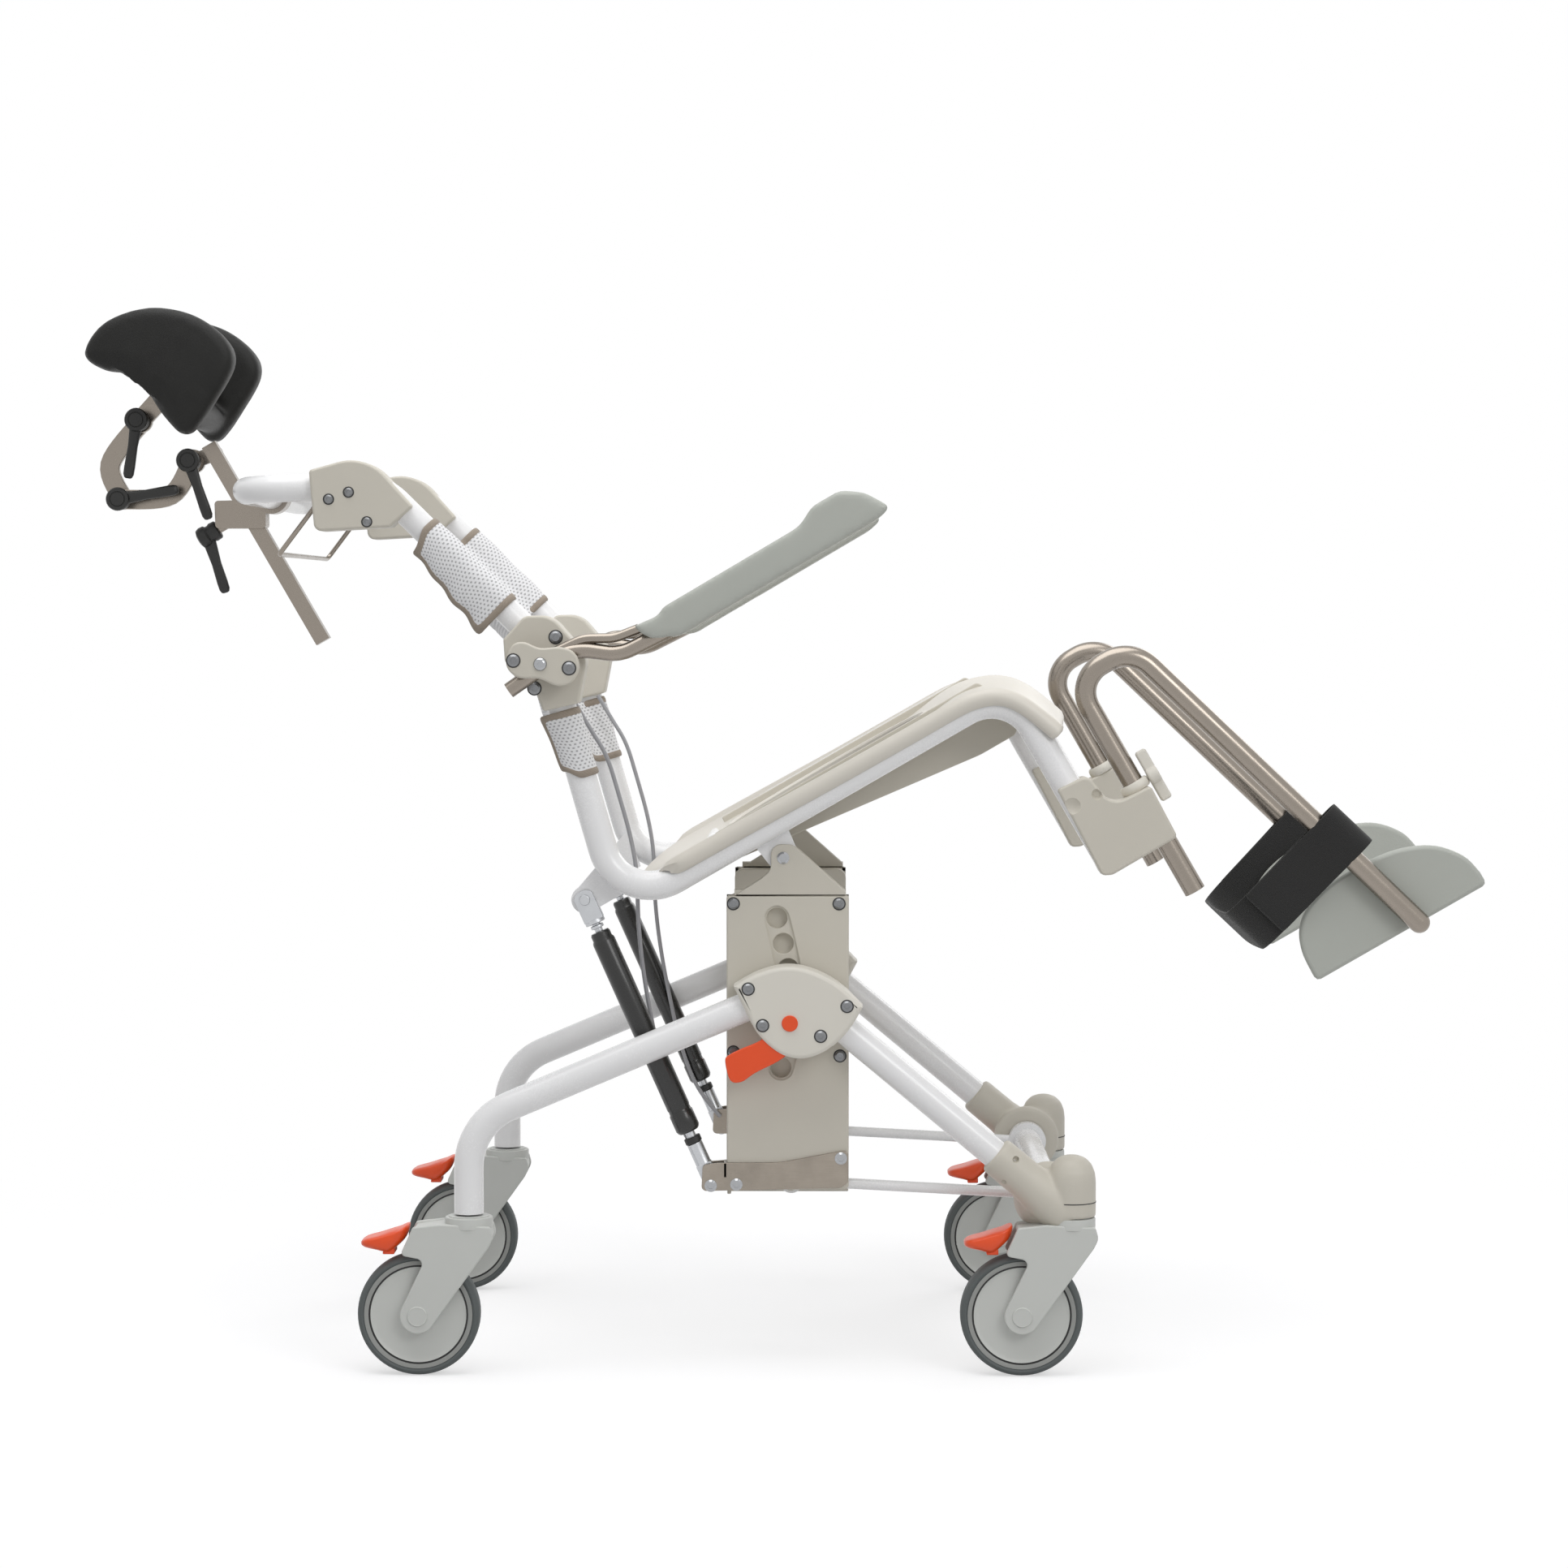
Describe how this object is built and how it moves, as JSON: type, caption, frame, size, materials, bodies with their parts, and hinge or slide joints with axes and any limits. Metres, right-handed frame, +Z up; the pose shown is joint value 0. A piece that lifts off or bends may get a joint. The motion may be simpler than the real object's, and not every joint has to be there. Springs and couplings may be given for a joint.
{
  "type": "tilting shower commode chair",
  "caption": "Wheeled shower and commode chair with a tilting seat, gas springs, height clamps, fold-up armrests and footplates, head support and calf strap.",
  "frame": {"origin": "on the floor, under the middle of the chair's overall box", "axes": "+X the way the seated person faces, +Y to their left, +Z up"},
  "size_m": [1.4418, 0.575, 1.0969],
  "materials": {
    "white_paint": "gloss white powder coat",
    "beige_casting": "fine-grained warm grey plastic",
    "tower_panel": "fine-grained warm grey plastic",
    "seat_plastic": "smooth off-white plastic",
    "grey_plastic": "soft grey moulded plastic",
    "caster_grey": "grey moulded plastic",
    "tyre": "dark grey rubber",
    "orange": "bright orange plastic",
    "stainless": "brushed stainless",
    "strap_steel": "brushed sheet steel",
    "zinc": "zinc plated",
    "chrome": "polished",
    "black_metal": "satin black",
    "black_plastic": "matte black",
    "black_pad": "grained black cover",
    "black_webbing": "woven webbing",
    "sling_mesh": "white mesh with taupe binding",
    "cable": "grey sheathed"
  },
  "bodies": {
    "base": {"base_side_tubes": "white_paint", "front_cross_tube": "white_paint", "front_joint_housings": "beige_casting", "height_clamps": "seat_plastic", "base_screws": "zinc"},
    "links": {"link_rods": "white_paint"},
    "lift": {"tower_outer_panels": "tower_panel", "tower_inner_panels": "tower_panel", "tower_top_brackets": "beige_casting", "spring_straps": "strap_steel", "tower_screws": "zinc", "release_cables": "cable"},
    "seat": {"seat_frame": "white_paint", "back_frame": "white_paint", "seat_shell": "seat_plastic", "elbow_clamps": "beige_casting", "shoulder_covers": "beige_casting", "back_sling": "sling_mesh", "seat_screws": "zinc", "headrest_clamp": "stainless", "leg_rest_brackets": "beige_casting"},
    "gas_rods": {"gas_rods": "zinc"},
    "gas_cylinders": {"gas_cylinders": "black_metal"},
    "release_bail": {"release_bail": "chrome"},
    "headrest_bar": {"headrest_bar": "stainless"},
    "headrest_lower_link": {"headrest_lower_link": "stainless"},
    "headrest_upper_link": {"headrest_upper_link": "stainless"},
    "headrest_pad": {"headrest_pad": "black_pad"},
    "bar_clamp_lever": {"bar_clamp_lever": "black_plastic"},
    "lever_bar_joint": {"lever_bar_joint": "black_plastic"},
    "lever_middle_joint": {"lever_middle_joint": "black_plastic"},
    "lever_pad_joint": {"lever_pad_joint": "black_plastic"},
    "leg_rest": {"leg_rest_tubes": "stainless", "calf_strap": "black_webbing"},
    "lock_lever_right": {"lock_lever_right": "orange"},
    "lock_lever_left": {"lock_lever_left": "orange"},
    "fork_rear_right": {"caster_fork_rear_right": "caster_grey"},
    "wheel_rear_right": {"caster_wheel_rear_right": "caster_grey", "caster_tyre_rear_right": "tyre"},
    "pedal_rear_right": {"brake_pedal_rear_right": "orange"},
    "fork_rear_left": {"caster_fork_rear_left": "caster_grey"},
    "wheel_rear_left": {"caster_wheel_rear_left": "caster_grey", "caster_tyre_rear_left": "tyre"},
    "pedal_rear_left": {"brake_pedal_rear_left": "orange"},
    "fork_front_right": {"caster_fork_front_right": "caster_grey"},
    "wheel_front_right": {"caster_wheel_front_right": "caster_grey", "caster_tyre_front_right": "tyre"},
    "pedal_front_right": {"brake_pedal_front_right": "orange"},
    "fork_front_left": {"caster_fork_front_left": "caster_grey"},
    "wheel_front_left": {"caster_wheel_front_left": "caster_grey", "caster_tyre_front_left": "tyre"},
    "pedal_front_left": {"brake_pedal_front_left": "orange"},
    "armrest_right": {"armrest_tube_right": "stainless", "armrest_pad_right": "grey_plastic"},
    "footplate_right": {"footplate_right": "grey_plastic"},
    "wing_screw_right": {"wing_screw_right": "seat_plastic"},
    "armrest_left": {"armrest_tube_left": "stainless", "armrest_pad_left": "grey_plastic"},
    "footplate_left": {"footplate_left": "grey_plastic"},
    "wing_screw_left": {"wing_screw_left": "seat_plastic"}
  },
  "joints": [
    {"name": "height_swing", "type": "hinge", "parent": "base", "child": "links", "pos_m": [0.28495, 0, 0.178], "axis": [0, 1, 0], "range_deg": [-22.85, 11.38]},
    {"name": "tower_level", "type": "hinge", "parent": "links", "child": "lift", "pos_m": [0.01995, 0, 0.192], "axis": [0, 1, 0], "range_deg": [-11.38, 22.85]},
    {"name": "seat_tilt", "type": "hinge", "parent": "lift", "child": "seat", "pos_m": [0.01185, 0, 0.5269], "axis": [0, 1, 0], "range_deg": [0, 35], "deforming": ["release_cables"]},
    {"name": "spring_foot", "type": "hinge", "parent": "lift", "child": "gas_rods", "pos_m": [-0.06105, 0, 0.192], "axis": [0, 1, 0], "range_deg": [0, 7.76]},
    {"name": "spring_stroke", "type": "slide", "parent": "gas_rods", "child": "gas_cylinders", "axis": [-0.4073, 0, 0.9133], "range_m": [0, 0.11565]},
    {"name": "lock_turn_right", "type": "hinge", "parent": "base", "child": "lock_lever_right", "pos_m": [0.01895, -0.24, 0.362], "axis": [0, -1, 0], "range_deg": [0, 70]},
    {"name": "lock_turn_left", "type": "hinge", "parent": "base", "child": "lock_lever_left", "pos_m": [0.01895, 0.24, 0.362], "axis": [0, -1, 0], "range_deg": [0, 70]},
    {"name": "swivel_rear_right", "type": "hinge", "parent": "base", "child": "fork_rear_right", "pos_m": [-0.30865, -0.24, 0.165], "axis": [0, 0, 1], "continuous": true},
    {"name": "roll_rear_right", "type": "hinge", "parent": "fork_rear_right", "child": "wheel_rear_right", "pos_m": [-0.35965, -0.24, 0.0625], "axis": [0, 1, 0], "continuous": true},
    {"name": "brake_rear_right", "type": "hinge", "parent": "fork_rear_right", "child": "pedal_rear_right", "pos_m": [-0.37965, -0.24, 0.1345], "axis": [0, -1, 0], "range_deg": [0, 8]},
    {"name": "swivel_rear_left", "type": "hinge", "parent": "base", "child": "fork_rear_left", "pos_m": [-0.30865, 0.24, 0.165], "axis": [0, 0, 1], "continuous": true},
    {"name": "roll_rear_left", "type": "hinge", "parent": "fork_rear_left", "child": "wheel_rear_left", "pos_m": [-0.35965, 0.24, 0.0625], "axis": [0, 1, 0], "continuous": true},
    {"name": "brake_rear_left", "type": "hinge", "parent": "fork_rear_left", "child": "pedal_rear_left", "pos_m": [-0.37965, 0.24, 0.1345], "axis": [0, -1, 0], "range_deg": [0, 8]},
    {"name": "swivel_front_right", "type": "hinge", "parent": "base", "child": "fork_front_right", "pos_m": [0.30595, -0.24, 0.165], "axis": [0, 0, 1], "continuous": true},
    {"name": "roll_front_right", "type": "hinge", "parent": "fork_front_right", "child": "wheel_front_right", "pos_m": [0.25495, -0.24, 0.0625], "axis": [0, 1, 0], "continuous": true},
    {"name": "brake_front_right", "type": "hinge", "parent": "fork_front_right", "child": "pedal_front_right", "pos_m": [0.23495, -0.24, 0.1345], "axis": [0, -1, 0], "range_deg": [0, 8]},
    {"name": "swivel_front_left", "type": "hinge", "parent": "base", "child": "fork_front_left", "pos_m": [0.30595, 0.24, 0.165], "axis": [0, 0, 1], "continuous": true},
    {"name": "roll_front_left", "type": "hinge", "parent": "fork_front_left", "child": "wheel_front_left", "pos_m": [0.25495, 0.24, 0.0625], "axis": [0, 1, 0], "continuous": true},
    {"name": "brake_front_left", "type": "hinge", "parent": "fork_front_left", "child": "pedal_front_left", "pos_m": [0.23495, 0.24, 0.1345], "axis": [0, -1, 0], "range_deg": [0, 8]},
    {"name": "armrest_flip_right", "type": "hinge", "parent": "seat", "child": "armrest_right", "pos_m": [-0.23103, -0.268, 0.72558], "axis": [0, -1, 0], "range_deg": [0, 85]},
    {"name": "armrest_flip_left", "type": "hinge", "parent": "seat", "child": "armrest_left", "pos_m": [-0.23103, 0.268, 0.72558], "axis": [0, -1, 0], "range_deg": [0, 85]},
    {"name": "bail_squeeze", "type": "hinge", "parent": "seat", "child": "release_bail", "pos_m": [-0.45891, 0, 0.89828], "axis": [0, 1, 0], "range_deg": [0, 22], "stiffness_Nm_per_rad": 0.5, "springref_deg": -5.73},
    {"name": "headrest_height", "type": "slide", "parent": "seat", "child": "headrest_bar", "axis": [-0.5, 0, 0.866], "range_m": [-0.025, 0.1]},
    {"name": "headrest_lower_tilt", "type": "hinge", "parent": "headrest_bar", "child": "headrest_lower_link", "pos_m": [-0.62579, 0, 0.93933], "axis": [0, 1, 0], "range_deg": [-10, 15]},
    {"name": "headrest_upper_tilt", "type": "hinge", "parent": "headrest_lower_link", "child": "headrest_upper_link", "pos_m": [-0.70127, 0, 0.89807], "axis": [0, 1, 0], "range_deg": [-30, 0]},
    {"name": "headrest_pad_tilt", "type": "hinge", "parent": "headrest_upper_link", "child": "headrest_pad", "pos_m": [-0.68081, 0, 0.98262], "axis": [0, 1, 0], "range_deg": [-25, 5]},
    {"name": "clamp_lever_turn", "type": "hinge", "parent": "seat", "child": "bar_clamp_lever", "pos_m": [-0.60635, 0, 0.86165], "axis": [0.866, 0, 0.5], "range_deg": [0, 80]},
    {"name": "bar_lever_turn", "type": "hinge", "parent": "headrest_bar", "child": "lever_bar_joint", "pos_m": [-0.62579, 0, 0.93933], "axis": [0, -1, 0], "range_deg": [0, 45]},
    {"name": "middle_lever_turn", "type": "hinge", "parent": "headrest_lower_link", "child": "lever_middle_joint", "pos_m": [-0.70127, 0, 0.89807], "axis": [0, 1, 0], "range_deg": [0, 80]},
    {"name": "pad_lever_turn", "type": "hinge", "parent": "headrest_upper_link", "child": "lever_pad_joint", "pos_m": [-0.68081, 0, 0.98262], "axis": [0, 1, 0], "range_deg": [0, 60]},
    {"name": "leg_rest_height", "type": "slide", "parent": "seat", "child": "leg_rest", "axis": [-0.5, 0, 0.866], "range_m": [0, 0.09]},
    {"name": "footplate_fold_right", "type": "hinge", "parent": "leg_rest", "child": "footplate_right", "pos_m": [0.66111, -0.203, 0.45835], "axis": [-0.866, 0, -0.5], "range_deg": [0, 90]},
    {"name": "wing_turn_right", "type": "hinge", "parent": "leg_rest", "child": "wing_screw_right", "pos_m": [0.38357, -0.222, 0.60907], "axis": [0.866, 0, 0.5], "continuous": true},
    {"name": "footplate_fold_left", "type": "hinge", "parent": "leg_rest", "child": "footplate_left", "pos_m": [0.66111, 0.203, 0.45835], "axis": [0.866, 0, 0.5], "range_deg": [0, 90]},
    {"name": "wing_turn_left", "type": "hinge", "parent": "leg_rest", "child": "wing_screw_left", "pos_m": [0.38357, 0.222, 0.60907], "axis": [0.866, 0, 0.5], "continuous": true}
  ],
  "couplings": [
    {"joint": "tower_level", "follows": "height_swing", "ratio": -1},
    {"joint": "spring_foot", "follows": "seat_tilt", "ratio": 0.22142},
    {"joint": "spring_stroke", "follows": "seat_tilt", "m_per_rad": 0.189}
  ]
}
